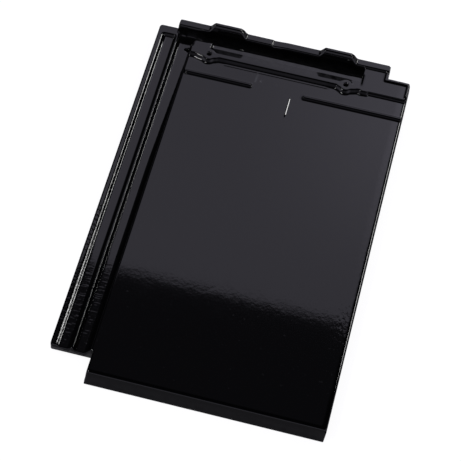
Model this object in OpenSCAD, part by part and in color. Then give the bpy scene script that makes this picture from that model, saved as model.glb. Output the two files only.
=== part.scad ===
// Flat interlocking roof tile: one piece of fired and glazed clay.
// X runs across the tile with the side lock at minus X, Y runs from tail to head, Z is up.
// The origin is under the middle of the tile, on the floor it lies on.

/* [Overall] */
// width across the tile, side lock included
overall_w = 291.5; // [270:0.5:320]
// length from the tail edge to the back of the head rim
overall_l = 457; // [400:1:500]
// height of the pan surface above the floor, which is also the height of the tail edge
tail_h = 20; // [18:0.5:24]
// thickness of the clay under the pan
pan_t = 11; // [9:0.5:12]

/* [Side lock] */
// width of the side lock, from its outer edge to the edge of the pan
lock_w = 43; // [41:0.5:48]
// height of the floor of the inner channel above the floor the tile lies on
channel_z = 9; // [8:0.5:10]
// height of the two lock ribs above the floor of the inner channel
lock_rib_h = 4.5; // [3:0.25:5]
// height of the floor of the outer channel above that of the inner channel
outer_floor_h = 1; // [0:0.25:1.5]
// width of the flat top of the outer rib
outer_rib_w = 4.75; // [3.5:0.25:6]
// thickness of the clay under the channels
lock_t = 7; // [5:0.5:7.5]
// width of the outer channel at its floor
outer_channel_w = 10.2; // [8:0.2:11]
// width of the flat top of the middle rib
middle_rib_w = 2.1; // [1:0.1:2.5]
// widening of the inner channel towards the head, at its floor
channel_flare = 5; // [0:0.25:6]
// length of that widening, measured from the head trough
flare_l = 170; // [100:5:300]
// distance from the tail edge to the end of the side lock
lock_setback = 28.5; // [25:0.5:45]
// depth of the closed end of the outer channel at the head
lock_head_w = 11.5; // [8:0.5:14]

/* [Cover side] */
// play between the cover edge and the pan of the next tile
side_play = 2.5; // [1.5:0.25:3.5]
// clearance over the ribs of the next tile
cover_gap = 0.8; // [0.5:0.1:1.2]
// width of the hanging ribs under the cover side
cover_rib_w = 4.5; // [3.5:0.25:5]

/* [Tail] */
// rake of the tail face, from its foot to the pan surface
tail_rake = 4; // [2:0.5:6]
// lean of the two ends of the tail, from the floor to the pan surface
tail_lean = 2; // [0:0.25:3]
// radius of the rounded edge between the tail face and the pan
tail_r = 3; // [2:0.5:6]
// width of the tail nose where it touches the floor
nose_w = 15; // [10:1:18]

/* [Head] */
// width of the head rim
rim_w = 8.5; // [6:0.25:10]
// height of the head rim above the pan
rim_h = 6.5; // [5.5:0.25:8]
// distance from the head to the front of the cross rib
rib_back = 39.8; // [37:0.2:46]
// run of the sloping front of the cross rib
rib_run = 3.2; // [1:0.2:5]
// height of the cross rib above the pan
rib_h = 4; // [3:0.25:5]
// width of the flat top of the cross rib
rib_w = 5; // [4:0.25:6]
// width of the level shoulder between the side lock and the slope behind the cross rib
shoulder_w = 21.5; // [18:0.5:26]
// distance from the head to the front edge of the head trough
trough_back = 21; // [19:0.5:24]
// radius of the corner where the inner channel turns into the head trough
turn_r = 6; // [4:0.5:8]
// distance from the middle of the tile to the end of the head trough
trough_x = 91.25; // [88:0.25:96]
// distance from the cover edge to the end of the head rim
rim_inset = 26; // [23:0.5:28]
// distance from the head to the back of the cover corner
corner_back = 17.5; // [15:0.5:20]
// height of the bead along the cover corner
bead_h = 1.3; // [0.8:0.1:2]
// width of the bead along the cover corner
bead_w = 3.5; // [2.5:0.25:5]

/* [Lugs] */
// length of a lug at its foot
lug_l = 45.5; // [36:0.5:50]
// height of the lugs above the head rim
lug_h = 8.5; // [5:0.25:10]
// distance between the middles of the two lugs
lug_gap = 126.5; // [110:0.5:140]
// sideways shift of the pair of lugs and of the nail holes
pair_shift = -2.75; // [-6:0.25:4]
// width of the shallow notch in the rim between the lugs
notch_w = 18; // [12:1:24]
// depth of the notch
notch_t = 1.2; // [0.6:0.1:2]

/* [Nail holes] */
// diameter of a nail hole
hole_d = 5.5; // [4.5:0.1:6.5]
// distance between the nail holes
hole_gap = 156.4; // [146:0.2:162]
// radius of the boss round a nail hole
boss_r = 7.5; // [6.5:0.25:8.5]

/* [Short ribs] */
// distance from the head to the front of the two short ribs
short_back = 66.5; // [60:0.5:80]
// height of the short ribs above the pan
short_h = 2.4; // [1.5:0.1:3]
// width of the short ribs at their feet
short_w = 4.5; // [3.5:0.25:6]
// gap between the short ribs in the middle of the pan
short_gap = 57; // [40:1:70]

/* [Underside] */
// width of a hanging nib
nib_w = 34; // [28:1:40]
// depth of a hanging nib along the tile
nib_d = 18; // [14:1:22]
// distance between the middles of the nibs
nib_gap = 136; // [120:1:150]

/* [Hidden] */
$fn = 48;
eps = 0.01;
x_out = -overall_w / 2;
x_pan = x_out + lock_w;
x_edge = overall_w / 2;
pan_z = tail_h;
pan_u = tail_h - pan_t;
lock_u = channel_z - lock_t;
rib_z = channel_z + lock_rib_h;
rim_z = pan_z + rim_h;
land_z = pan_z + rib_h;
cover_u = rib_z + cover_gap;
lip_z = channel_z + cover_gap;
outer_z = channel_z + outer_floor_h;
hang_z = outer_z + cover_gap;
outer_slope = 1.24 * (rib_z - outer_z);
rib_slope1 = 0.6 * (rib_z - outer_z);
rib_slope2 = 0.71 * lock_rib_h;
wall_k = 0.64;
wall_run = wall_k * (pan_z - channel_z);
x_rib1 = x_out + outer_rib_w;
x_ch1 = x_rib1 + outer_slope;
x_ch2 = x_ch1 + outer_channel_w;
x_mid1 = x_ch2 + rib_slope1;
x_mid2 = x_mid1 + middle_rib_w;
x_in1 = x_mid2 + rib_slope2;
x_in2 = x_pan - wall_run;
pitch = overall_w - lock_w + side_play;
y_rib = overall_l - rib_back;
y_slope = y_rib + rib_w;
y_trough = overall_l - trough_back;
y_rim = overall_l - rim_w;
y_hole = y_rib + rib_w / 2;
y_corner = overall_l - corner_back;
y_lock_end = overall_l - 3.5 - lock_head_w;
y_bar = y_slope + 8;
slope_drop = 0.74 * rib_h;
y_mid = y_slope + 0.6 * (y_trough - y_slope);
x_shoulder = x_pan + shoulder_w;
x_rim1 = x_mid1 + 0.5;
x_rim2 = x_edge - rim_inset;
x_cover = x_out + pitch;
x_ch1n = x_ch1 + pitch;
x_ch2n = x_ch2 + pitch;
x_in1n = x_in1 + pitch;
x_hang1 = (x_ch1n + x_ch2n - cover_rib_w) / 2;
x_hang2 = x_in1n + 0.55 * cover_rib_w;
edge_r = 0.14 * tail_h;
edge_h = 0.16 * tail_h;
lip_run = 0.144 * lock_w;
join_w = 0.37 * lock_w;
short_x = pair_shift + 0.114 * short_gap;
hole_x = pair_shift + 0.003 * hole_gap;
over = 0.5 * tail_h;

function unit(v) = v / norm(v);

function bend(a, b, c, r, n) =
    let (u = unit(a - b), w = unit(c - b))
    let (h = acos(u * w) / 2, o = b + unit(u + w) * r / sin(h))
    let (s = b + u * r / tan(h) - o, e = b + w * r / tan(h) - o)
    let (a0 = atan2(s[1], s[0]), a1 = atan2(e[1], e[0]))
    let (sweep = ((a1 - a0 + 540) % 360) - 180)
    [for (i = [0:n]) o + r * [cos(a0 + sweep * i / n), sin(a0 + sweep * i / n)]];

// outline through corners given as x, y and corner radius
function rounded(p, n = 3) =
    let (m = len(p), q = [for (v = p) [v[0], v[1]]])
    [for (i = [0:m - 1])
        each (p[i][2] > 0
            ? bend(q[(i + m - 1) % m], q[i], q[(i + 1) % m], p[i][2], n)
            : [q[i]])];

module along_y(y0, y1) {
    translate([0, y1, 0]) rotate([90, 0, 0]) linear_extrude(y1 - y0) children();
}

module along_x(x0, x1) {
    translate([x0, 0, 0]) rotate([90, 0, 90]) linear_extrude(x1 - x0) children();
}

module box(x0, x1, y0, y1, z0, z1) {
    translate([x0, y0, z0]) cube([x1 - x0, y1 - y0, z1 - z0]);
}

// section of the pan and of the cover side with its two hanging ribs
module pan_section() {
    polygon(rounded([
        [x_pan + 1, pan_u, 0], [x_pan + tail_lean, pan_z, 1.5], [x_edge, pan_z, edge_r],
        [x_edge, pan_z - edge_h, 0.6], [x_edge - lip_run, lip_z, 1.2], [x_hang2 + 0.8, lip_z, 1.2],
        [x_hang2, cover_u, 1], [x_hang1 + cover_rib_w + 0.8, cover_u, 1],
        [x_hang1 + cover_rib_w, hang_z, 1], [x_hang1, hang_z, 1], [x_hang1 - 0.8, cover_u, 1],
        [x_cover - 0.5, cover_u, 1], [x_cover - 6, pan_u, 1.5]]));
}

// section of the side lock: outer rib, outer channel, middle rib, inner channel, wall of the pan
module lock_section(top) {
    polygon(rounded([
        [x_out, lock_u, 1.5], [x_out, rib_z, 1], [x_rib1, rib_z, 1], [x_ch1, outer_z, 1.5],
        [x_ch2, outer_z, 1], [x_mid1, rib_z, 0.6], [x_mid2, rib_z, 0.6], [x_in1, channel_z, 1.2],
        [x_in2, channel_z, 1.5],
        each top > pan_z ? [[x_pan, pan_z, 0], [x_pan + 0.3, top, 1.2]] : [[x_pan, pan_z, 1.5]],
        [x_pan + join_w, top, 0], [x_pan + join_w, pan_u, 0],
        [x_pan + 0.56 * join_w, pan_u, 1.5], [x_pan + 0.12 * join_w, lock_u, 1.5]]));
}

module tail() {
    intersection() {
        along_x(x_pan - 1, x_edge + 1) polygon(rounded([
            [0, 0, 0], [tail_rake, pan_z, tail_r], [nose_w + 9, pan_z, 0], [nose_w + 9, pan_u, 0],
            [nose_w + 5, pan_u, 2], [nose_w, 0, 1.5]]));
        along_y(-1, nose_w + 10) polygon(rounded([
            [x_pan, 0, 0], [x_pan + tail_lean, pan_z, 1.5], [x_edge, pan_z, edge_r],
            [x_edge, pan_z - edge_h, 0], [x_edge - 0.6 * tail_lean, 0, 0]]));
    }
}

module platform_section() {
    lock_section(land_z);
    translate([x_pan + join_w - 1, lock_u])
        square([trough_x + over - x_pan - join_w + 1, land_z - lock_u]);
}

// cross rib, the slope behind it and the back wall of the platform down to the trough
module platform() {
    intersection() {
        along_x(x_pan - 10, trough_x + 3) polygon(rounded([
            [y_rib - rib_run, pan_u, 0], [y_rib - rib_run, pan_z - 0.3, 0], [y_rib, land_z, 1],
            [y_slope, land_z, 1.5], [y_mid, land_z - 0.94 * slope_drop, 6],
            [y_trough, land_z - slope_drop, 1.2], [y_trough + 3, channel_z, 0],
            [y_trough + 3, channel_z - 1, 0], [y_bar + 1, channel_z - 1, 0], [y_bar + 1, pan_u, 0]]));
        along_y(y_rib - over, overall_l) platform_section();
    }
}

// level shoulder beside the slope, on the side of the lock
module shoulder() {
    intersection() {
        along_x(x_pan - 10, x_shoulder + rib_h) polygon(rounded([
            [y_rib, pan_u, 0], [y_rib, land_z, 0], [y_trough - 0.3, land_z, 1.2], [y_trough, pan_z, 0],
            [y_trough + 3, channel_z, 0], [y_trough + 3, channel_z - 1, 0], [y_bar + 1, channel_z - 1, 0],
            [y_bar + 1, pan_u, 0]]));
        along_y(y_rib - over, overall_l) intersection() {
            platform_section();
            polygon([[x_out, lock_u - 1], [x_out, land_z + 1], [x_shoulder - 0.8, land_z + 1],
                [x_shoulder + 0.8 * rib_h, pan_z], [x_shoulder + 0.8 * rib_h, lock_u - 1]]);
        }
    }
}

// rounds the corner of the platform where the inner channel turns into the trough
module turn() {
    difference() {
        box(x_in2 - 4, x_pan + turn_r, y_trough - turn_r, y_rim, channel_z, land_z + 5);
        translate([x_pan + turn_r, y_trough - turn_r, channel_z])
            cylinder(h = pan_z - channel_z + eps, r1 = turn_r + wall_run, r2 = turn_r);
        translate([x_pan + turn_r, y_trough - turn_r, pan_z])
            cylinder(h = rim_z, r = turn_r);
    }
}

// cut that steepens the foot of the wall of the pan towards the head
module flare() {
    translate([x_in2, y_trough - flare_l, channel_z])
        rotate([0, 0, -atan(channel_flare / flare_l)])
            translate([-channel_flare, 0, 0]) cube([channel_flare, flare_l + over, pan_z - channel_z]);
}

// boss round a nail hole, with the flanks that join it to the front of the cross rib
module boss(x, flank1, flank2) {
    translate([x, y_hole, pan_u]) cylinder(h = land_z - pan_u, r = boss_r);
    translate([x, 0, pan_u]) linear_extrude(land_z - pan_u) polygon([
        [-flank1 * boss_r, y_rib + 1], [-0.75 * boss_r, y_hole - 0.66 * boss_r],
        [0.75 * boss_r, y_hole - 0.66 * boss_r], [flank2 * boss_r, y_rib + 1]]);
}

// flat land on the cover side of the head, with its bead
module land() {
    along_y(y_rib - 1, y_corner) polygon([
        [trough_x, cover_u], [trough_x + 1.5, land_z], [x_edge - 0.7, land_z], [x_edge - 0.3, pan_z - 1],
        [x_edge - 3, cover_u]]);
    box(trough_x, x_rim2, y_corner - 1, y_rim + 2, cover_u, land_z);
    box(x_rim2 - 0.4 * bead_w, x_edge - 0.7, y_corner - bead_w, y_corner, land_z - 1, land_z + bead_h);
    box(x_edge - bead_w, x_edge - 0.7, y_hole, y_corner, land_z - 1, land_z + bead_h);
    box(x_rim2 - bead_w, x_rim2, y_corner - bead_w, y_rim + 2, land_z - 1, land_z + bead_h);
}

module rim() {
    difference() {
        intersection() {
            along_x(x_rim1, x_rim2) polygon(rounded([
                [y_rim - 1.4, channel_z - 1, 0], [y_rim, rim_z, 0.8], [overall_l, rim_z, 1],
                [overall_l, lock_u, 1.5], [y_rim - 1.4, lock_u, 0]]));
            linear_extrude(rim_z + 1) polygon(rounded([
                [x_rim1, y_rim - 2, 0], [x_rim1, overall_l, 3], [x_rim2, overall_l, 1.5],
                [x_rim2, y_rim - 2, 0]]));
        }
        box(x_cover - 4, x_edge, y_rim - 5, overall_l + 5, -1, cover_u);
        along_y(y_rim - 5, overall_l + 5) polygon([
            [pair_shift - 0.72 * notch_w, rim_z], [pair_shift - 0.72 * notch_w, rim_z + 2],
            [pair_shift + 0.28 * notch_w, rim_z + 2], [pair_shift + 0.28 * notch_w, rim_z],
            [pair_shift + 0.28 * notch_w - 4, rim_z - notch_t],
            [pair_shift - 0.72 * notch_w + 1.5, rim_z - notch_t]]);
    }
}

module lug(x) {
    intersection() {
        along_x(x - lug_l / 2, x + lug_l / 2) polygon(rounded([
            [y_rim - 0.3, rim_z - 2, 0], [y_rim + 0.41 * rim_w, rim_z + lug_h, 0.8],
            [overall_l - 0.06 * rim_w, rim_z + lug_h, 0.8], [overall_l, rim_z - 2, 0]]));
        along_y(y_rim - 2, overall_l + 1) polygon(rounded([
            [x - lug_l / 2, rim_z - 2, 0], [x - lug_l / 2 + 7, rim_z + lug_h, 2],
            [x + lug_l / 2 - 7, rim_z + lug_h, 2], [x + lug_l / 2, rim_z - 2, 0]]));
    }
}

module short_rib(x0, x1) {
    y0 = overall_l - short_back;
    intersection() {
        along_x(x0, x1) polygon(rounded([
            [y0 - 0.8, pan_z - 1, 0], [y0, pan_z + short_h, 0.8],
            [y0 + short_w - 1.6, pan_z + short_h, 0.8], [y0 + short_w, pan_z - 1, 0]]));
        along_y(y0 - 2, y0 + short_w + 2) polygon([
            [x0, pan_z - 1], [x0 + 2, pan_z + short_h], [x1 - 1, pan_z + short_h], [x1, pan_z - 1]]);
    }
}

// floor of the trough and the bar under it that the nibs hang from
module head_bar() {
    box(x_mid1, x_cover - 5, y_bar, overall_l - 1, lock_u, channel_z);
    box(trough_x, x_cover - 5, y_bar, overall_l - 1, lock_u, cover_u + 1);
    translate([0, 0, lock_u]) linear_extrude(rib_z - lock_u) polygon(rounded([
        [x_out, y_lock_end, 0], [x_out, overall_l - 3.5, 3.5], [x_rim1 + 2, overall_l - 3.5, 0],
        [x_rim1 + 2, y_lock_end, 0]]));
}

module nib(x) {
    along_x(x - nib_w / 2, x + nib_w / 2) polygon(rounded([
        [y_bar, lock_u + 2, 0], [y_bar, 0, 1], [y_bar + nib_d - 3, 0, 1.5],
        [y_bar + nib_d, lock_u + 2, 0]]));
}

module roof_tile() {
    color([0.03, 0.03, 0.035])
    translate([0, -overall_l / 2, 0])
    difference() {
        union() {
            tail();
            along_y(nose_w + 5, y_trough - 2) pan_section();
            along_y(lock_setback, y_trough - turn_r - 2) lock_section(pan_z);
            intersection() {
                along_y(y_trough - turn_r - 3, y_rim + 1) lock_section(pan_z);
                union() {
                    box(x_ch2, x_in2 - 1, 0, overall_l, -1, rim_z);
                    box(x_out - 1, x_in2 - 1, 0, y_lock_end + 2, -1, rim_z);
                }
            }
            platform();
            shoulder();
            boss(hole_x - hole_gap / 2, 2.6, 2);
            boss(hole_x + hole_gap / 2, 1.7, 2.3);
            land();
            head_bar();
            rim();
            lug(pair_shift - 0.5 - lug_gap / 2);
            lug(pair_shift - 0.5 + lug_gap / 2);
            short_rib(x_pan + 1, short_x - short_gap / 2);
            short_rib(short_x + short_gap / 2, x_edge - 0.6);
            nib(-nib_gap / 2);
            nib(nib_gap / 2);
        }
        turn();
        flare();
        for (s = [-1, 1])
            translate([hole_x + s * hole_gap / 2, y_hole, -over])
                cylinder(h = rim_z + 2 * over, d = hole_d);
    }
}

roof_tile();
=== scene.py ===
import math

import bpy
import numpy as np
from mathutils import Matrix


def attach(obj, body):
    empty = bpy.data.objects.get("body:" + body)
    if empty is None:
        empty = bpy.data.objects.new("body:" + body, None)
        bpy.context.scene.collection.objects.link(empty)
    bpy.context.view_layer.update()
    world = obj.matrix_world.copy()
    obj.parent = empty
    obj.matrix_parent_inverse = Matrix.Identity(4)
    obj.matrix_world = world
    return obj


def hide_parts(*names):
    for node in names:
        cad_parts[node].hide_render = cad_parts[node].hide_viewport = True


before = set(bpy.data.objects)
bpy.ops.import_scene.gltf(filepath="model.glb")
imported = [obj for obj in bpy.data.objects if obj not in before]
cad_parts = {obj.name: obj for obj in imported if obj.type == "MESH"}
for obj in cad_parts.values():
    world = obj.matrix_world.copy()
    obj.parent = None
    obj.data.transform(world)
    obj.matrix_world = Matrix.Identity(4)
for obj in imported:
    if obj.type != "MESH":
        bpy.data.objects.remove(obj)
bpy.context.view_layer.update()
scene = bpy.context.scene
scene.view_settings.view_transform = "Standard"


# camera

viewpoint = {
    "place": (0.16693, -0.98845, 1.5887),   # metres from the middle of the tile's foot
    "turn": (31.846, -2.5322, 14.0059),     # degrees about X, Y and Z
    "lens": 137.44,
}


def addCamera(values):
    data = bpy.data.cameras.new("camera")
    data.lens = values["lens"]
    data.sensor_width = 36
    data.dof.use_dof = False
    camera = bpy.data.objects.new("camera", data)
    camera.location = values["place"]
    camera.rotation_euler = [math.radians(a) for a in values["turn"]]
    scene.collection.objects.link(camera)
    scene.camera = camera


addCamera(viewpoint)
print("camera set")


# shader helpers

class Wire:
    def __init__(self, graph, socket):
        self.graph = graph
        self.socket = socket

    def join(self, operation, first, second):
        made = self.graph.node("ShaderNodeMath", {"operation": operation}, {0: first, 1: second})
        return Wire(self.graph, made.outputs[0])

    def __add__(self, other):
        return self.join("ADD", self, other)

    def __radd__(self, other):
        return self.join("ADD", other, self)

    def __sub__(self, other):
        return self.join("SUBTRACT", self, other)

    def __rsub__(self, other):
        return self.join("SUBTRACT", other, self)

    def __mul__(self, other):
        return self.join("MULTIPLY", self, other)

    def __rmul__(self, other):
        return self.join("MULTIPLY", other, self)

    def ramp(self, low, high):   # 0 below low, 1 above high, smooth between
        made = self.graph.node("ShaderNodeMapRange", {"interpolation_type": "SMOOTHSTEP"},
                               {"Value": self, "From Min": low, "From Max": high})
        return Wire(self.graph, made.outputs["Result"])


class Graph:
    def __init__(self, tree):
        self.tree = tree
        tree.nodes.clear()

    def node(self, kind, settings=None, sockets=None):
        made = self.tree.nodes.new(kind)
        for name, value in (settings or {}).items():
            setattr(made, name, value)
        for name, value in (sockets or {}).items():
            if isinstance(value, Wire):
                self.tree.links.new(value.socket, made.inputs[name])
            else:
                made.inputs[name].default_value = value
        return made

    def wire(self, made, output=0):
        return Wire(self, made.outputs[output])

    def noise(self, where, scale, stretch=(1, 1, 1), detail=2.0, offset=(0, 0, 0)):
        placed = self.node("ShaderNodeMapping", None,
                           {"Vector": where, "Scale": stretch, "Location": offset})
        made = self.node("ShaderNodeTexNoise", None,
                         {"Vector": self.wire(placed), "Scale": scale, "Detail": detail})
        return self.wire(made, "Fac")

    def mixColour(self, factor, first, second):
        made = self.node("ShaderNodeMix", {"data_type": "RGBA"},
                         {"Factor": factor, "A": first, "B": second})
        return self.wire(made, 2)


# glaze

glaze = {
    "colour": (0.0008, 0.0008, 0.0009, 1),
    "roughness": 0.03,
    "swellSize": 0.011,        # metres between the soft swells of the glaze
    "swellSlope": 0.0007,      # how far a swell tips the surface
    "peelSize": 0.0028,        # fine orange peel
    "peelSlope": 0.0022,
    "lockSide": -0.109,        # the side lock lies at smaller x
    "lockFade": (-0.001, 0.002),
    "rippleSize": 0.0026,      # ripples that run across the channels of the lock
    "rippleSlope": 0.065,
    "rippleReach": (-0.08, -0.17),   # y where the ripples begin, and where they are full
    "ribSide": -0.1366,        # the outer rib lies at smaller x
    "ribTop": -0.1403,         # its flat top at still smaller x
    "ribFade": 0.0005,
    "ribTopFade": 0.0004,
    "coverSide": 0.120,        # the glaze is wavier along the cover edge
    "coverFade": 0.02,
    "coverSlope": 0.014,
    "stippleSize": 0.001,      # fine texture on the rib's slope
    "stippleSlope": 0.09,
    # dust colour; along the small raised flaws it is a painted highlight
    "dustAndPaintedHighlight": (0.05, 0.05, 0.052, 1),
    "dustScale": 140,
    "dustRange": (0.2, 0.65),  # noise levels between which dust and the painted highlight on the flaws begin and are full
    "dustRoughness": 0.5,      # added where dust lies in the hollows
    "speckShare": 0.09,
    "speckSize": 0.0035,       # metres between the patches that hold a speck of dust
    "speckRange": (0.70, 0.78),
    "smearScale": 35,
    "smearRange": (0.55, 0.8),
    "smearRoughness": 0.01,
    "headStart": 0.191,        # the head, which the next tile covers, is duller
    "headFade": 0.003,
    "headRoughness": 0.03,
    "clay": (0.150, 0.062, 0.036, 1),
    "clayRoughness": 0.82,
    "clayGrain": 0.00025,      # metres of height
    "clayGrainScale": 900,
    "clayPatch": 0.25,         # how much darker and lighter its patches are
    "clayPatchScale": 60,
}


def makeGlaze(values):
    material = bpy.data.materials.new("glazed_clay")
    material.use_nodes = True
    g = Graph(material.node_tree)
    where = g.wire(g.node("ShaderNodeTexCoord"), "Object")
    split = g.node("ShaderNodeSeparateXYZ", None, {"Vector": where})
    x, y = g.wire(split, "X"), g.wire(split, "Y")
    bare = g.wire(g.node("ShaderNodeAttribute", {"attribute_name": "bare"}), "Fac")
    # share of dust in the hollows, and of the painted highlight along the small raised flaws
    dustAndPaintedHighlight = g.wire(g.node("ShaderNodeAttribute", {"attribute_name": "dustAndPaintedHighlight"}), "Fac")
    lock = (values["lockSide"] - x).ramp(*values["lockFade"])
    rib = (values["ribSide"] - x).ramp(-values["ribFade"], values["ribFade"])
    rib = rib * (x - values["ribTop"]).ramp(-values["ribTopFade"], values["ribTopFade"])

    swell = values["swellSize"]
    height = g.noise(where, 1 / swell, detail=1.0) * (swell * values["swellSlope"])
    peel = values["peelSize"]
    height = height + g.noise(where, 1 / peel, offset=(0.3, 0.1, 0.2)) * (peel * values["peelSlope"])
    ripple = values["rippleSize"]
    across = g.noise(where, 1 / ripple, stretch=(0.25, 1, 0.25), detail=1.5)
    begin, full = values["rippleReach"]
    grown = (begin - y).ramp(0, begin - full)
    height = height + lock * grown * across * (ripple * values["rippleSlope"] * 0.5)
    cover = (x - values["coverSide"]).ramp(0, values["coverFade"])
    wavy = g.noise(where, 1 / ripple, stretch=(0.8, 0.5, 0.5), offset=(0.5, 0.3, 0))
    height = height + cover * wavy * (ripple * values["coverSlope"])
    stipple = values["stippleSize"]
    dots = g.noise(where, 1 / stipple, detail=1.0, offset=(0.1, 0.4, 0))
    height = height + rib * dots * (stipple * values["stippleSlope"] * 0.5)
    grain = g.noise(where, values["clayGrainScale"], detail=3.0)
    height = height + bare * grain * values["clayGrain"]
    bump = g.node("ShaderNodeBump", None, {"Height": height, "Distance": 1.0, "Strength": 1.0})

    dark, light = ([c * (1 + side * values["clayPatch"]) for c in values["clay"][:3]] + [1] for side in (-1, 1))
    clayTone = g.mixColour(g.noise(where, values["clayPatchScale"], detail=4.0), dark, light)
    patches = g.noise(where, values["dustScale"], detail=3.0, offset=(0.2, 0.6, 0))
    specks = g.noise(where, 1 / values["speckSize"], offset=(0.4, 0.9, 0))
    # dust in patches and specks, plus the highlight painted along the flaws
    dustAndHighlightShare = dustAndPaintedHighlight * patches.ramp(*values["dustRange"])
    dustAndHighlightShare = dustAndHighlightShare + specks.ramp(*values["speckRange"]) * values["speckShare"]
    dustAndHighlightColour = g.mixColour(dustAndHighlightShare, values["colour"], values["dustAndPaintedHighlight"])
    colour = g.mixColour(bare, dustAndHighlightColour, clayTone)
    smear = g.noise(where, values["smearScale"], offset=(0.7, 0.2, 0)).ramp(*values["smearRange"])
    head = (y - values["headStart"]).ramp(-values["headFade"], values["headFade"])
    gloss = values["roughness"] + smear * values["smearRoughness"] + dustAndHighlightShare * values["dustRoughness"]
    gloss = gloss + head * values["headRoughness"]
    rough = gloss + bare * (values["clayRoughness"] - values["roughness"])
    shader = g.node("ShaderNodeBsdfPrincipled", None,
                    {"Base Color": colour, "Roughness": rough, "IOR": 1.5, "Normal": g.wire(bump)})
    g.node("ShaderNodeOutputMaterial", None, {"Surface": g.wire(shader)})
    return material


glazedClay = makeGlaze(glaze)
print("glaze made")


# tile

tile = {
    "scanStep": 0.25,      # millimetres between the points read from the solid
    "edgeRound": 0.55,     # radius the glaze gives an outer edge
    "cornerFill": 0.8,     # radius it fills an inner corner with
    "soften": 0.28,        # width of the last light blur
    "softPlaces": [        # x from, x to, y from, y to, radius of outer edges, of inner corners
        (-150, 150, -232, -217, 2.4, 0.8),
        (137, 150, -232, 158, 2.4, 0.8),
        (137, 150, 171, 184, 2.4, 0.8),
        (-110, -82, 195, 216, 3.0, 0.8),
        (-86, -72, 192, 212, 0.8, 2.5),
        (-106, -66, 174, 195, 0.3, 2.4),
        (56, 99, 174, 195, 0.3, 2.4),
        (-51, -36, 213, 235, 0.55, 2.6),
        (75.5, 90.5, 213, 235, 0.55, 2.6),
    ],
    "bevels": [            # x from, x to, y from, y to, height at x from, fall a millimetre
        (-52.4, -46, 217, 230, 35, 0.8),
        (74.1, 80.5, 217, 230, 35, 0.8),
    ],
    "edgeRoll": (134, 0.6),   # x from which the pan rolls down to the cover edge, and how far
    "skirts": [            # x from, x to, y from, y to, way up the slope in points, fall a millimetre
        (-104, -61, 174, 187.5, (0, 1), 1.25),
        (55, 101, 174, 187.5, (0, 1), 1.25),
        (-15, 3, 217, 230, (1, 0), 0.085),
    ],
    "strokes": [           # small raised flaws: start, end, half width, height, share of the dust colour painted along them as a highlight
        ((-22.6, 170.5), (-22.3, 183.5), 0.45, 0.08, 0.7),
        ((-17.0, 172.0), (-17.0, 172.3), 0.7, 0.12, 1),
        ((-138.7, -195.0), (-138.7, 195.0), 0.35, 0.10, 0),
    ],
    "ridge": {"x": 19.625, "left": 0.25, "right": 1.0, "front": 133.5, "back": 159.5, "height": 0.515},
    "ridgeLines": [-0.25, 0, 0.125, 0.5, 0.875, 1.0],   # lines of points along it, from its crest
    "plinth": {"left": -66, "right": 62, "front": 182.2, "back": 186.5, "height": 0.15,
               "endFade": 6, "frontFade": 1.2, "backFade": 1.8},
    "dustShare": 0.08,     # most dust in a hollow
    "dustReach": 4,        # millimetres round a point that count when hollows are looked for
    "dustDepth": 6,        # depth of a hollow that is full of it
    "dustPlaces": [        # x from, x to, y from, y to, share of dust
        (-80, 92, 193, 209, 0.16),
    ],
    "linesAcross": 306,
    "linesAlong": 240,
    "flatShare": 0.22,     # how closely lines stand on flat ground, next to those at an edge
    "rimBlur": 1.5,        # points over which the outline is softened before points snap to it
    "rimSpill": 4,         # points by which heights are carried past the outline
    "rimThick": 0.4,       # least thickness at the outline
}
nowhere = 50.0             # millimetres, beyond any height of the tile


def readSolid(node):
    mesh = node.data
    mesh.calc_loop_triangles()
    points = np.empty(len(mesh.vertices) * 3)
    mesh.vertices.foreach_get("co", points)
    corners = np.empty(len(mesh.loop_triangles) * 3, dtype=np.int32)
    mesh.loop_triangles.foreach_get("vertices", corners)
    return points.reshape(-1, 3)[corners].reshape(-1, 3, 3) * 1000


class Field:   # heights over a regular grid of points, in millimetres, with a margin all round
    def __init__(self, triangles, step, margin=12):
        self.step = step
        low = triangles.reshape(-1, 3).min(0)
        high = triangles.reshape(-1, 3).max(0)
        self.x0 = low[0] - (margin - 0.5) * step
        self.y0 = low[1] - (margin - 0.5) * step
        count = [int(round((high[i] - low[i]) / step)) + 2 * margin for i in (0, 1)]
        self.x = self.x0 + np.arange(count[0]) * step
        self.y = self.y0 + np.arange(count[1]) * step
        self.top = np.full(count, -nowhere, dtype=np.float32)
        self.under = np.full(count, nowhere, dtype=np.float32)
        for corners in triangles:
            self.scan(corners)
        self.inside = self.top > -nowhere

    def scan(self, corners):
        (ax, ay, az), (bx, by, bz), (cx, cy, cz) = corners
        area = (bx - ax) * (cy - ay) - (by - ay) * (cx - ax)
        if abs(area) < 1e-6:
            return
        part = self.window(min(ax, bx, cx), max(ax, bx, cx), min(ay, by, cy), max(ay, by, cy))
        x, y = self.x[part[0]][:, None], self.y[part[1]][None, :]
        wb = ((x - ax) * (cy - ay) - (y - ay) * (cx - ax)) / area
        wc = ((y - ay) * (bx - ax) - (x - ax) * (by - ay)) / area
        hit = (wb >= -1e-7) & (wc >= -1e-7) & (wb + wc <= 1 + 1e-7)
        z = az + wb * (bz - az) + wc * (cz - az)
        self.top[part] = np.where(hit, np.maximum(self.top[part], z), self.top[part])
        self.under[part] = np.where(hit, np.minimum(self.under[part], z), self.under[part])

    def window(self, x0, x1, y0, y1):   # the points in a rectangle, as a pair of slices
        return tuple(slice(max(0, math.floor((low - start) / self.step)),
                           math.ceil((high - start) / self.step) + 1)
                     for low, high, start in ((x0, x1, self.x0), (y0, y1, self.y0)))

    def read(self, values, x, y):   # smooth reading between points
        u = np.clip((x - self.x0) / self.step, 0, values.shape[0] - 1.001)
        v = np.clip((y - self.y0) / self.step, 0, values.shape[1] - 1.001)
        i, j = u.astype(int), v.astype(int)
        a, b = u - i, v - j
        return ((values[i, j] * (1 - a) + values[i + 1, j] * a) * (1 - b)
                + (values[i, j + 1] * (1 - a) + values[i + 1, j + 1] * a) * b)


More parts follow.
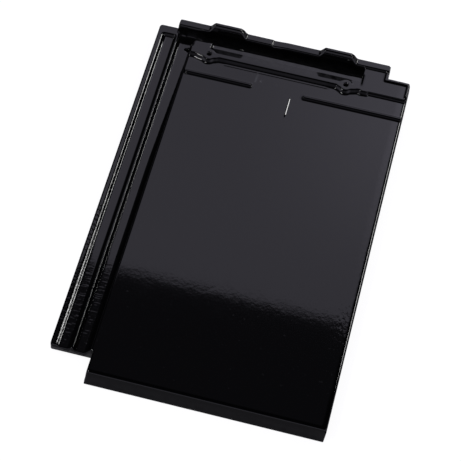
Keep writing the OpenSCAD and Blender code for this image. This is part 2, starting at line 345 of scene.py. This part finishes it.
def rollBall(values, radius, step, grow):   # grow or shrink a height field by a ball
    reach = int(radius / step)
    made = values.copy()
    nx, ny = values.shape
    for i in range(-reach, reach + 1):
        for j in range(-reach, reach + 1):
            far = (i * i + j * j) * step * step
            if far > radius * radius:
                continue
            sag = radius - math.sqrt(radius * radius - far)
            here = np.s_[max(0, -i):nx - max(0, i), max(0, -j):ny - max(0, j)]
            there = np.s_[max(0, i):nx - max(0, -i), max(0, j):ny - max(0, -j)]
            if grow:
                np.maximum(made[here], values[there] - sag, out=made[here])
            else:
                np.minimum(made[here], values[there] + sag, out=made[here])
    return made


def blur(values, sigma):   # sigma in points
    reach = int(math.ceil(sigma * 3))
    weights = [math.exp(-0.5 * (k / sigma) ** 2) for k in range(-reach, reach + 1)]
    for axis in (0, 1):
        made = np.zeros_like(values)
        for k, w in zip(range(-reach, reach + 1), weights):
            made += np.roll(values, k, axis) * np.float32(w / sum(weights))
        values = made
    return values


def blurInside(values, inside, sigma):
    weight = blur(inside.astype(np.float32), sigma)
    return np.where(inside, blur(np.where(inside, values, 0), sigma) / np.maximum(weight, 1e-3), values)


def spill(values, inside, rounds, pick):   # carry heights a few points past the outline
    values = np.where(inside, values, np.nan)
    for _ in range(rounds):
        sides = [np.roll(values, s, a) for s in (1, -1) for a in (0, 1)]
        values = np.where(np.isnan(values), pick.reduce(sides), values)
    return np.where(np.isnan(values), 0, values).astype(np.float32)


def smooth(t):
    t = np.clip(t, 0, 1)
    return t * t * (3 - 2 * t)


def between(at, low, high, fade):   # 1 inside a span, falling to 0 at its ends
    return smooth((at - low) / fade) * smooth((high - at) / fade)


def openAndFill(values, edge, corner, step):   # round outer edges, then inner corners
    values = rollBall(rollBall(values, edge, step, False), edge, step, True)
    return rollBall(rollBall(values, corner, step, True), corner, step, False)


def soften(field, base, top, place, fade=5):   # larger radii in one place
    x0, x1, y0, y1, edge, corner = place
    reach = 2 * max(edge, corner)
    part = field.window(x0 - reach, min(x1 + reach, field.x[-1]),
                        y0 - reach, min(y1 + reach, field.y[-1]))
    x, y = field.x[part[0]][:, None], field.y[part[1]][None, :]
    made = openAndFill(base[part], edge, corner, field.step)
    share = between(x, x0, x1, fade) * between(y, y0, y1, fade)
    top[part] += (share * (made - top[part])).astype(np.float32)


def addSkirt(field, top, skirt, reach=15):   # a slope that leans on what stands higher
    x0, x1, y0, y1, (stepX, stepY), fall = skirt
    part = field.window(x0, x1, y0, y1)
    made = top[part].copy()
    for k in range(1, int(reach / field.step)):
        there = tuple(slice(s.start + k * d, s.stop + k * d) for s, d in zip(part, (stepX, stepY)))
        if there[0].stop <= top.shape[0] and there[1].stop <= top.shape[1]:
            np.maximum(made, top[there] - fall * k * field.step, out=made)
    top[part] = np.where(field.inside[part], made, top[part])


def cutBevel(field, top, bevel):   # a plane that falls to the right
    x0, x1, y0, y1, height, fall = bevel
    part = field.window(x0, x1, y0, y1)
    plane = height - fall * (field.x[part[0]][:, None] - x0)
    top[part] = np.minimum(top[part], plane).astype(np.float32)


# a small raised flaw, with the dust colour painted along it as a highlight
def addStroke(field, top, dustAndPaintedHighlight, stroke):
    (ax, ay), (bx, by), width, height, share = stroke
    reach = 4 * width
    part = field.window(min(ax, bx) - reach, max(ax, bx) + reach, min(ay, by) - reach, max(ay, by) + reach)
    x, y = field.x[part[0]][:, None], field.y[part[1]][None, :]
    along = ((x - ax) * (bx - ax) + (y - ay) * (by - ay)) / ((bx - ax) ** 2 + (by - ay) ** 2)
    along = np.clip(along, 0, 1)
    far = np.hypot(x - ax - along * (bx - ax), y - ay - along * (by - ay))
    mark = np.exp(-0.5 * (far / width) ** 2).astype(np.float32)
    top[part] += height * mark
    dustAndPaintedHighlight[part] = np.maximum(dustAndPaintedHighlight[part], share * mark)


def addRidge(field, top, ridge):   # raised line, steep on the left and a plain slope on the right
    left = (field.x - ridge["x"] + ridge["left"]) / ridge["left"]
    right = (ridge["x"] + ridge["right"] - field.x) / ridge["right"]
    ends = np.clip(np.minimum(field.y - ridge["front"], ridge["back"] - field.y), 0, 1)
    made = ridge["height"] * np.clip(np.minimum(left, right), 0, 1)[:, None] * ends[None, :]
    top += made.astype(np.float32)


def addPlinth(field, top, plinth):   # low step in front of the cross rib
    x, y = field.x[:, None], field.y[None, :]
    ends = between(x, plinth["left"], plinth["right"], plinth["endFade"])
    front = smooth((y - plinth["front"]) / plinth["frontFade"])
    back = smooth((plinth["back"] - y) / plinth["backFade"])
    top += (plinth["height"] * ends * front * back).astype(np.float32)


def dustOn(field, top, place, steepest=0.7, ease=0.3):   # dust lies on what faces up
    x0, x1, y0, y1, share = place
    x, y = field.x[:, None], field.y[None, :]
    steep = np.hypot(*np.gradient(top, field.step))
    return share * between(x, x0, x1, 3) * between(y, y0, y1, 2) * smooth((steepest - steep) / ease)


def chooseLines(layers, inside, axis, field, count, fixed, flatShare, spread=7, clear=0.14):
    safe = inside & np.roll(inside, 1, axis) & np.roll(inside, -1, axis)
    weight = np.full(inside.shape[axis], flatShare)
    for values, share in layers:
        bend = np.abs(np.roll(values, 1, axis) + np.roll(values, -1, axis) - 2 * values) / field.step ** 2
        bend = np.sqrt(np.minimum(np.where(safe, bend, 0).max(1 - axis), 1.0))
        weight += share * np.convolve(bend, np.ones(spread) / spread, "same")
    at = (field.x, field.y)[axis]
    use = (at > fixed[0]) & (at < fixed[-1])
    total = np.concatenate([[0], np.cumsum(weight[use])])
    edges = np.concatenate([[fixed[0]], at[use] + field.step / 2])
    lines = np.interp(np.linspace(0, total[-1], count), total, edges)
    far = np.abs(lines[:, None] - np.array(fixed)[None, :]).min(1)
    return np.sort(np.concatenate([lines[far > clear], fixed]))


def shapeTop(field, values):
    step = values["scanStep"]
    base = field.top.copy()
    for skirt in values["skirts"]:
        addSkirt(field, base, skirt)
    for bevel in values["bevels"]:
        cutBevel(field, base, bevel)
    start, drop = values["edgeRoll"]
    end = field.x[field.inside.any(1)][-1]
    base -= drop * np.clip((field.x - start) / (end - start), 0, 1)[:, None] ** 2
    top = openAndFill(base, values["edgeRound"], values["cornerFill"], step)
    for place in values["softPlaces"]:
        soften(field, base, top, place)
    top = np.where(field.inside, top, -nowhere).astype(np.float32)
    addPlinth(field, top, values["plinth"])
    return blurInside(top, field.inside, values["soften"] / step)


def buildTile(values):
    triangles = readSolid(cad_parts["roof_tile"])
    low, high = triangles.reshape(-1, 3).min(0), triangles.reshape(-1, 3).max(0)
    field = Field(triangles, values["scanStep"])
    inside = field.inside
    print("solid read at", inside.shape, "points")
    top = shapeTop(field, values)
    under = np.where(inside, field.under, nowhere).astype(np.float32)
    around = blurInside(top, inside, values["dustReach"] / values["scanStep"])
    dustAndPaintedHighlight = values["dustShare"] * np.clip((around - top) / values["dustDepth"], 0, 1)
    for place in values["dustPlaces"]:
        dustAndPaintedHighlight = np.maximum(dustAndPaintedHighlight, dustOn(field, top, place))
    # the strokes add painted highlight to the dust share
    for stroke in values["strokes"]:
        addStroke(field, top, dustAndPaintedHighlight, stroke)
    addRidge(field, top, values["ridge"])
    top = np.where(inside, top, -nowhere).astype(np.float32)
    print("edges and corners rounded")

    xFixed, yFixed = fixedLines(field, low, high, findHoles(field))
    xFixed = sorted(xFixed + [values["ridge"]["x"] + far for far in values["ridgeLines"]])
    layers = ((top, 1.0), (under, 0.3))
    xs = chooseLines(layers, inside, 0, field, values["linesAcross"], xFixed, values["flatShare"])
    ys = chooseLines(layers, inside, 1, field, values["linesAlong"], yFixed, values["flatShare"])

    midX, midY = np.meshgrid((xs[1:] + xs[:-1]) / 2, (ys[1:] + ys[:-1]) / 2, indexing="ij")
    active = field.read(inside.astype(np.float32), midX, midY) > 0.5
    px, py = np.meshgrid(xs, ys, indexing="ij")
    touch = np.zeros(px.shape, dtype=int)
    for i in (0, 1):
        for j in (0, 1):
            touch[i:i + active.shape[0], j:j + active.shape[1]] += active
    rim = (touch > 0) & (touch < 4)
    px, py = snapToOutline(field, blur(inside.astype(np.float32), values["rimBlur"]), px, py, rim)
    px = np.clip(px, low[0], high[0])
    py = np.clip(py, low[1], high[1])
    carry = values["rimSpill"]
    zTop = np.clip(field.read(spill(top, inside, carry, np.fmin), px, py), low[2], high[2])
    zUnder = np.clip(field.read(spill(under, inside, carry, np.fmax), px, py), low[2], high[2])
    zTop = np.where(rim, np.maximum(zTop, zUnder + values["rimThick"]), zTop)
    xRows = sparseRows(px, zUnder, active, touch > 0)
    yRows = sparseRows(py.T, zUnder.T, active.T, (touch > 0).T)
    print("lines", len(xs), "across,", len(ys), "along; below", len(xRows), "and", len(yRows))
    return weave(px, py, zTop, zUnder, field.read(dustAndPaintedHighlight, px, py), active, touch, xRows, yRows)


def findHoles(field, stride=4, reach=30, border=40, most=0.25):   # middles of the small openings
    gap = ~field.inside
    wide, long = gap.shape
    found = []
    seen = np.zeros_like(gap)
    for i in range(0, wide, stride):
        for j in range(0, long, stride):
            if not gap[i, j] or seen[i, j]:
                continue
            i0, j0 = max(0, i - reach), max(0, j - reach)
            box = np.s_[i0:i + reach + 1, j0:j + reach + 1]
            share = gap[box].mean()
            seen[box] |= gap[box]
            if share < most and border < i < wide - border and border < j < long - border:
                a, b = np.nonzero(gap[box])
                found.append((field.x[i0] + a.mean() * field.step, field.y[j0] + b.mean() * field.step))
    return found


def fixedLines(field, low, high, holes, ring=(0, 1.1, 2.0, 2.6, 3.1, 3.6), shortest=6, clear=0.2):
    rows = []   # lines on straight parts of the outline and round the holes, across and along
    for axis in (0, 1):
        turns = np.abs(np.diff(field.inside.astype(int), axis=axis)).sum(1 - axis)
        at = (field.x, field.y)[axis][np.nonzero(turns * field.step > shortest)[0]] + field.step / 2
        circles = [hole[axis] + side * r for hole in holes for r in ring for side in (-1, 1)]
        lines = sorted([low[axis], high[axis], *at, *circles])
        kept = [lines[0]]
        for line in lines[1:]:
            if line - kept[-1] > clear:
                kept.append(line)
        kept[-1] = high[axis]
        rows.append(kept)
    return rows


def snapToOutline(field, share, px, py, rim, rounds=6, farthest=1.2):
    slopeX = np.gradient(share, field.step, axis=0)
    slopeY = np.gradient(share, field.step, axis=1)
    x, y = px[rim], py[rim]
    for _ in range(rounds):
        gx = field.read(slopeX, x, y)
        gy = field.read(slopeY, x, y)
        size = np.maximum(gx * gx + gy * gy, 0.01)
        off = np.clip((0.5 - field.read(share, x, y)) / size, -farthest, farthest)
        x = x + off * gx
        y = y + off * gy
    px, py = px.copy(), py.copy()
    px[rim], py[rim] = x, y
    return px, py


def sparseRows(at, z, active, used, sag=0.03, widest=16):   # the lines that the underside needs
    share = (at[1:-1] - at[:-2]) / np.maximum(at[2:] - at[:-2], 1e-6)
    off = np.abs(z[1:-1] - z[:-2] * (1 - share) - z[2:] * share)
    bends = np.where(used[1:-1] & used[:-2] & used[2:], off, 0).max(1) > sag
    turns = (active[1:] != active[:-1]).any(1)
    rows = [0]
    for i in range(1, len(at) - 1):
        if bends[i - 1] or turns[i - 1] or i - rows[-1] >= widest:
            rows.append(i)
    return np.array(rows + [len(at) - 1])


def cellFaces(index, active):
    return np.stack([index[:-1, :-1][active], index[1:, :-1][active],
                     index[1:, 1:][active], index[:-1, 1:][active]], 1)


def cutEars(ring, points):   # triangles from a wall's outline, none of them flat as a line
    spots = [(math.hypot(*(points[k] - points[ring[0]])[:2]), points[k][2]) for k in ring]
    faces = []
    at = 1
    while len(ring) > 3 and at < len(ring) - 1:
        (s0, z0), (s1, z1), (s2, z2) = spots[at - 1:at + 2]
        if (z1 - z0) * (s2 - s1) - (s1 - s0) * (z2 - z1) > 1e-12:
            faces.append(ring[at - 1:at + 2])
            del ring[at], spots[at]
            at = 1
        else:
            at += 1
    return faces + [ring]


def wallFaces(index, below, points, solid, xRows, yRows):
    faces = []
    padded = np.pad(solid, 1)
    for m, n in zip(*np.nonzero(solid)):
        i0, i1, j0, j1 = xRows[m], xRows[m + 1], yRows[n], yRows[n + 1]
        sides = (
            (padded[m, n + 1], index[i0, j0:j1 + 1], below[m, n + 1], below[m, n]),
            (padded[m + 2, n + 1], index[i1, j0:j1 + 1][::-1], below[m + 1, n], below[m + 1, n + 1]),
            (padded[m + 1, n], index[i0:i1 + 1, j0][::-1], below[m, n], below[m + 1, n]),
            (padded[m + 1, n + 2], index[i0:i1 + 1, j1], below[m + 1, n + 1], below[m, n + 1]),
        )
        for beyond, path, last, first in sides:
            if not beyond:
                faces += cutEars([first, *path, last], points)
    return faces


def weave(px, py, zTop, zUnder, dustAndPaintedHighlight, active, touch, xRows, yRows):   # closed: top, underside and walls
    used = touch > 0
    count = int(used.sum())
    index = np.full(px.shape, -1)
    index[used] = np.arange(count)
    cross = np.zeros_like(used)
    cross[np.ix_(xRows, yRows)] = True
    cross &= used
    below = np.full(px.shape, -1)
    below[cross] = count + np.arange(cross.sum())
    below = below[np.ix_(xRows, yRows)]
    solid = active[np.ix_(xRows[:-1], yRows[:-1])]
    points = np.concatenate([np.stack([px[used], py[used], zTop[used]], 1),
                             np.stack([px[cross], py[cross], zUnder[cross]], 1)]) / 1000
    faces = cellFaces(index, active).tolist()
    faces += cellFaces(below, solid)[:, ::-1].tolist()
    faces += wallFaces(index, below, points, solid, xRows, yRows)
    mesh = bpy.data.meshes.new("roof_tile_glazed")
    mesh.from_pydata(points.tolist(), [], [[int(k) for k in face] for face in faces])
    mesh.validate()
    # the dust mark holds the dust and the painted highlight along the small flaws
    marks = {"bare": np.concatenate([np.zeros(count), touch[cross] == 4]),
             "dustAndPaintedHighlight": np.concatenate([dustAndPaintedHighlight[used], np.zeros(cross.sum())])}
    for name, values in marks.items():
        mesh.attributes.new(name, "FLOAT", "POINT").data.foreach_set("value", values.astype(np.float32))
    mesh.shade_smooth()
    return mesh


tileMesh = buildTile(tile)
tileMesh.materials.append(glazedClay)
roofTile = bpy.data.objects.new("roof_tile_glazed", tileMesh)
scene.collection.objects.link(roofTile)


# ticks on the outer rib

ticks = {
    "Count": 10,
    "Start": (-0.1428, -0.0839, 0.0135),    # middle of the first tick, on the top of the rib
    "Step": (0.0, 0.00627, 0.0),
    "Size": (0.0018, 0.0014, 0.0018),       # half sizes of a tick
    "least": (0.8, 0.8, 0.8),               # shares of that size between which ticks vary
    "most": (1.1, 1.1, 1.0),
    "seed": 4,
    "segments": 16,
    "rings": 10,
}


def ticksTree(values):
    tree = bpy.data.node_groups.new("rib_ticks", "GeometryNodeTree")
    kinds = {"Geometry": "NodeSocketGeometry", "Count": "NodeSocketInt", "Start": "NodeSocketVector",
             "Step": "NodeSocketVector", "Size": "NodeSocketVector"}
    for name, kind in kinds.items():
        tree.interface.new_socket(name, in_out="INPUT", socket_type=kind)
    tree.interface.new_socket("Geometry", in_out="OUTPUT", socket_type="NodeSocketGeometry")
    g = Graph(tree)
    given = g.node("NodeGroupInput")
    line = g.node("GeometryNodeMeshLine", None, {"Count": g.wire(given, "Count"),
                  "Start Location": g.wire(given, "Start"), "Offset": g.wire(given, "Step")})
    bead = g.node("GeometryNodeMeshUVSphere", None,
                  {"Segments": values["segments"], "Rings": values["rings"], "Radius": 1.0})
    soft = g.node("GeometryNodeSetShadeSmooth", None, {"Geometry": g.wire(bead)})
    vary = g.node("FunctionNodeRandomValue", {"data_type": "FLOAT_VECTOR"},
                  {0: values["least"], 1: values["most"], "Seed": values["seed"]})
    size = g.node("ShaderNodeVectorMath", {"operation": "MULTIPLY"},
                  {0: g.wire(given, "Size"), 1: g.wire(vary)})
    placed = g.node("GeometryNodeInstanceOnPoints", None, {"Points": g.wire(line),
                    "Instance": g.wire(soft), "Scale": g.wire(size)})
    both = g.node("GeometryNodeJoinGeometry", None, {"Geometry": g.wire(given, "Geometry")})
    tree.links.new(placed.outputs[0], both.inputs[0])
    real = g.node("GeometryNodeRealizeInstances", None, {"Geometry": g.wire(both)})
    glazed = g.node("GeometryNodeSetMaterial", None, {"Geometry": g.wire(real), "Material": glazedClay})
    g.node("NodeGroupOutput", None, {"Geometry": g.wire(glazed)})
    return tree


def addTicks(piece, values):
    tree = ticksTree(values)
    modifier = piece.modifiers.new("ticks", "NODES")
    modifier.node_group = tree
    for item in tree.interface.items_tree:
        if item.in_out == "INPUT" and item.name in values:
            modifier[item.identifier] = values[item.name]
    evaluated = piece.evaluated_get(bpy.context.evaluated_depsgraph_get())
    mesh = bpy.data.meshes.new_from_object(evaluated)
    piece.modifiers.clear()
    piece.data = mesh


addTicks(roofTile, ticks)
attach(roofTile, "root")
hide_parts("roof_tile")
roofTile.data.calc_loop_triangles()
print("tile woven,", len(roofTile.data.loop_triangles), "triangles")


# studio

studio = {
    "floorReach": 6,
    "floorDrop": 0.0002,        # just under the tile's foot
    "floorColour": (0.2, 0.2, 0.2, 1),
    "floorLift": 0.88,          # white added to the floor for the camera
    "plainLight": 0.6,          # light from all round
    "backWhite": 0.83,          # white sheet behind the tile, as it shows in the glaze
    "backFoot": 0.48,           # its level near the floor
    "backBright": 0.78,         # how much brighter it is towards the lower right
    "backTop": 1.768,           # its upper edge, as height over distance
    "backLeft": 0.55,           # its left edge, as way aside over distance
    "backRight": 0.21,          # its right edge
    "backLift": 0.27,           # height over distance where it begins to grow brighter
    "roomDark": 0.004,
    "ceiling": 0.05,            # above the sheet
    "frontWhite": 0.45,         # low panel on the camera's side
    "frontTop": 0.17,           # its upper edge, as height over distance
    "frontFill": 0.4,           # soft light above that panel
    "sideWhite": 0.4,           # soft panels to the left and right, seen from other sides
    "tint": (0.86, 0.83, 1.0, 1),
    "lamps": {                  # azimuth from +X, elevation, distance, size, watts
        "side_lamp": (41, 30, 1.4, (0.8, 0.15), 6.5),
        "front_lamp": (-136, 54.4, 1.56, (0.34, 0.12), 6),
    },
}


def addFloor(values):
    mesh = bpy.data.meshes.new("floor")
    r = values["floorReach"]
    mesh.from_pydata([(-r, -r, 0), (r, -r, 0), (r, r, 0), (-r, r, 0)], [], [(0, 1, 2, 3)])
    floor = bpy.data.objects.new("floor", mesh)
    floor.location.z = -values["floorDrop"]
    scene.collection.objects.link(floor)
    material = bpy.data.materials.new("floor")
    material.use_nodes = True
    g = Graph(material.node_tree)
    seen = g.wire(g.node("ShaderNodeLightPath"), "Is Camera Ray")
    matt = g.node("ShaderNodeBsdfDiffuse", None, {"Color": values["floorColour"]})
    glow = g.node("ShaderNodeEmission", None, {"Strength": seen * values["floorLift"]})
    both = g.node("ShaderNodeAddShader", None, {0: g.wire(matt), 1: g.wire(glow)})
    g.node("ShaderNodeOutputMaterial", None, {"Surface": g.wire(both)})
    mesh.materials.append(material)


def addWorld(values):
    world = bpy.data.worlds.new("studio")
    scene.world = world
    world.use_nodes = True
    g = Graph(world.node_tree)
    split = g.node("ShaderNodeSeparateXYZ", None,
                   {"Vector": g.wire(g.node("ShaderNodeTexCoord"), "Generated")})
    x, y, z = (g.wire(split, k) for k in ("X", "Y", "Z"))
    path = g.node("ShaderNodeLightPath")
    seen, mirrored = g.wire(path, "Is Camera Ray"), g.wire(path, "Is Glossy Ray")
    behind = (y * values["backTop"] - z).ramp(-0.005, 0.005)
    across = (x + y * values["backLeft"]).ramp(-0.03, 0.05) * (y * values["backRight"] - x).ramp(-0.02, 0.03)
    rise = (z - y * values["backLift"]).ramp(0, 0.5)
    sheet = values["backFoot"] + rise * (values["backWhite"] - values["backFoot"])
    sheet = sheet * (1 + x.ramp(-0.12, 0.06) * (y - 0.5).ramp(0, 0.1) * values["backBright"])
    sheet = behind * y.ramp(0.02, 0.12) * sheet
    above = (1 - behind) * y.ramp(0.3, 0.4) * values["ceiling"]
    ahead = (0 - y).ramp(0.3, 0.5)
    low = 1 - z.ramp(0, 0.8)
    front = (y * -values["frontTop"] - z).ramp(-0.01, 0.01) * ahead * values["frontWhite"]
    facing = ahead * low * values["frontFill"]
    beside = (x * x).ramp(0.08, 0.3) * ((0 - y).ramp(-0.36, -0.24) + y.ramp(0.63, 0.7))
    sides = beside * low * values["sideWhite"]
    room = values["roomDark"] + front + sides + facing + across * (sheet + above)
    light = mirrored * room + (1 - mirrored) * values["plainLight"]
    strength = seen + (1 - seen) * light
    tint = g.mixColour(seen, values["tint"], (1, 1, 1, 1))
    back = g.node("ShaderNodeBackground", None, {"Color": tint, "Strength": strength})
    g.node("ShaderNodeOutputWorld", None, {"Surface": g.wire(back)})


def addLamp(name, turn, rise, far, size, power):
    data = bpy.data.lights.new(name, "AREA")
    data.shape = "RECTANGLE"
    data.size, data.size_y = size
    data.energy = power
    lamp = bpy.data.objects.new(name, data)
    turn, rise = math.radians(turn), math.radians(rise)
    lamp.location = (far * math.cos(rise) * math.cos(turn), far * math.cos(rise) * math.sin(turn),
                     far * math.sin(rise))
    lamp.rotation_euler = (math.pi / 2 - rise, 0, turn + math.pi / 2)
    scene.collection.objects.link(lamp)


addFloor(studio)
addWorld(studio)
for lampName, lampValues in studio["lamps"].items():
    addLamp(lampName, *lampValues)
print("studio set")
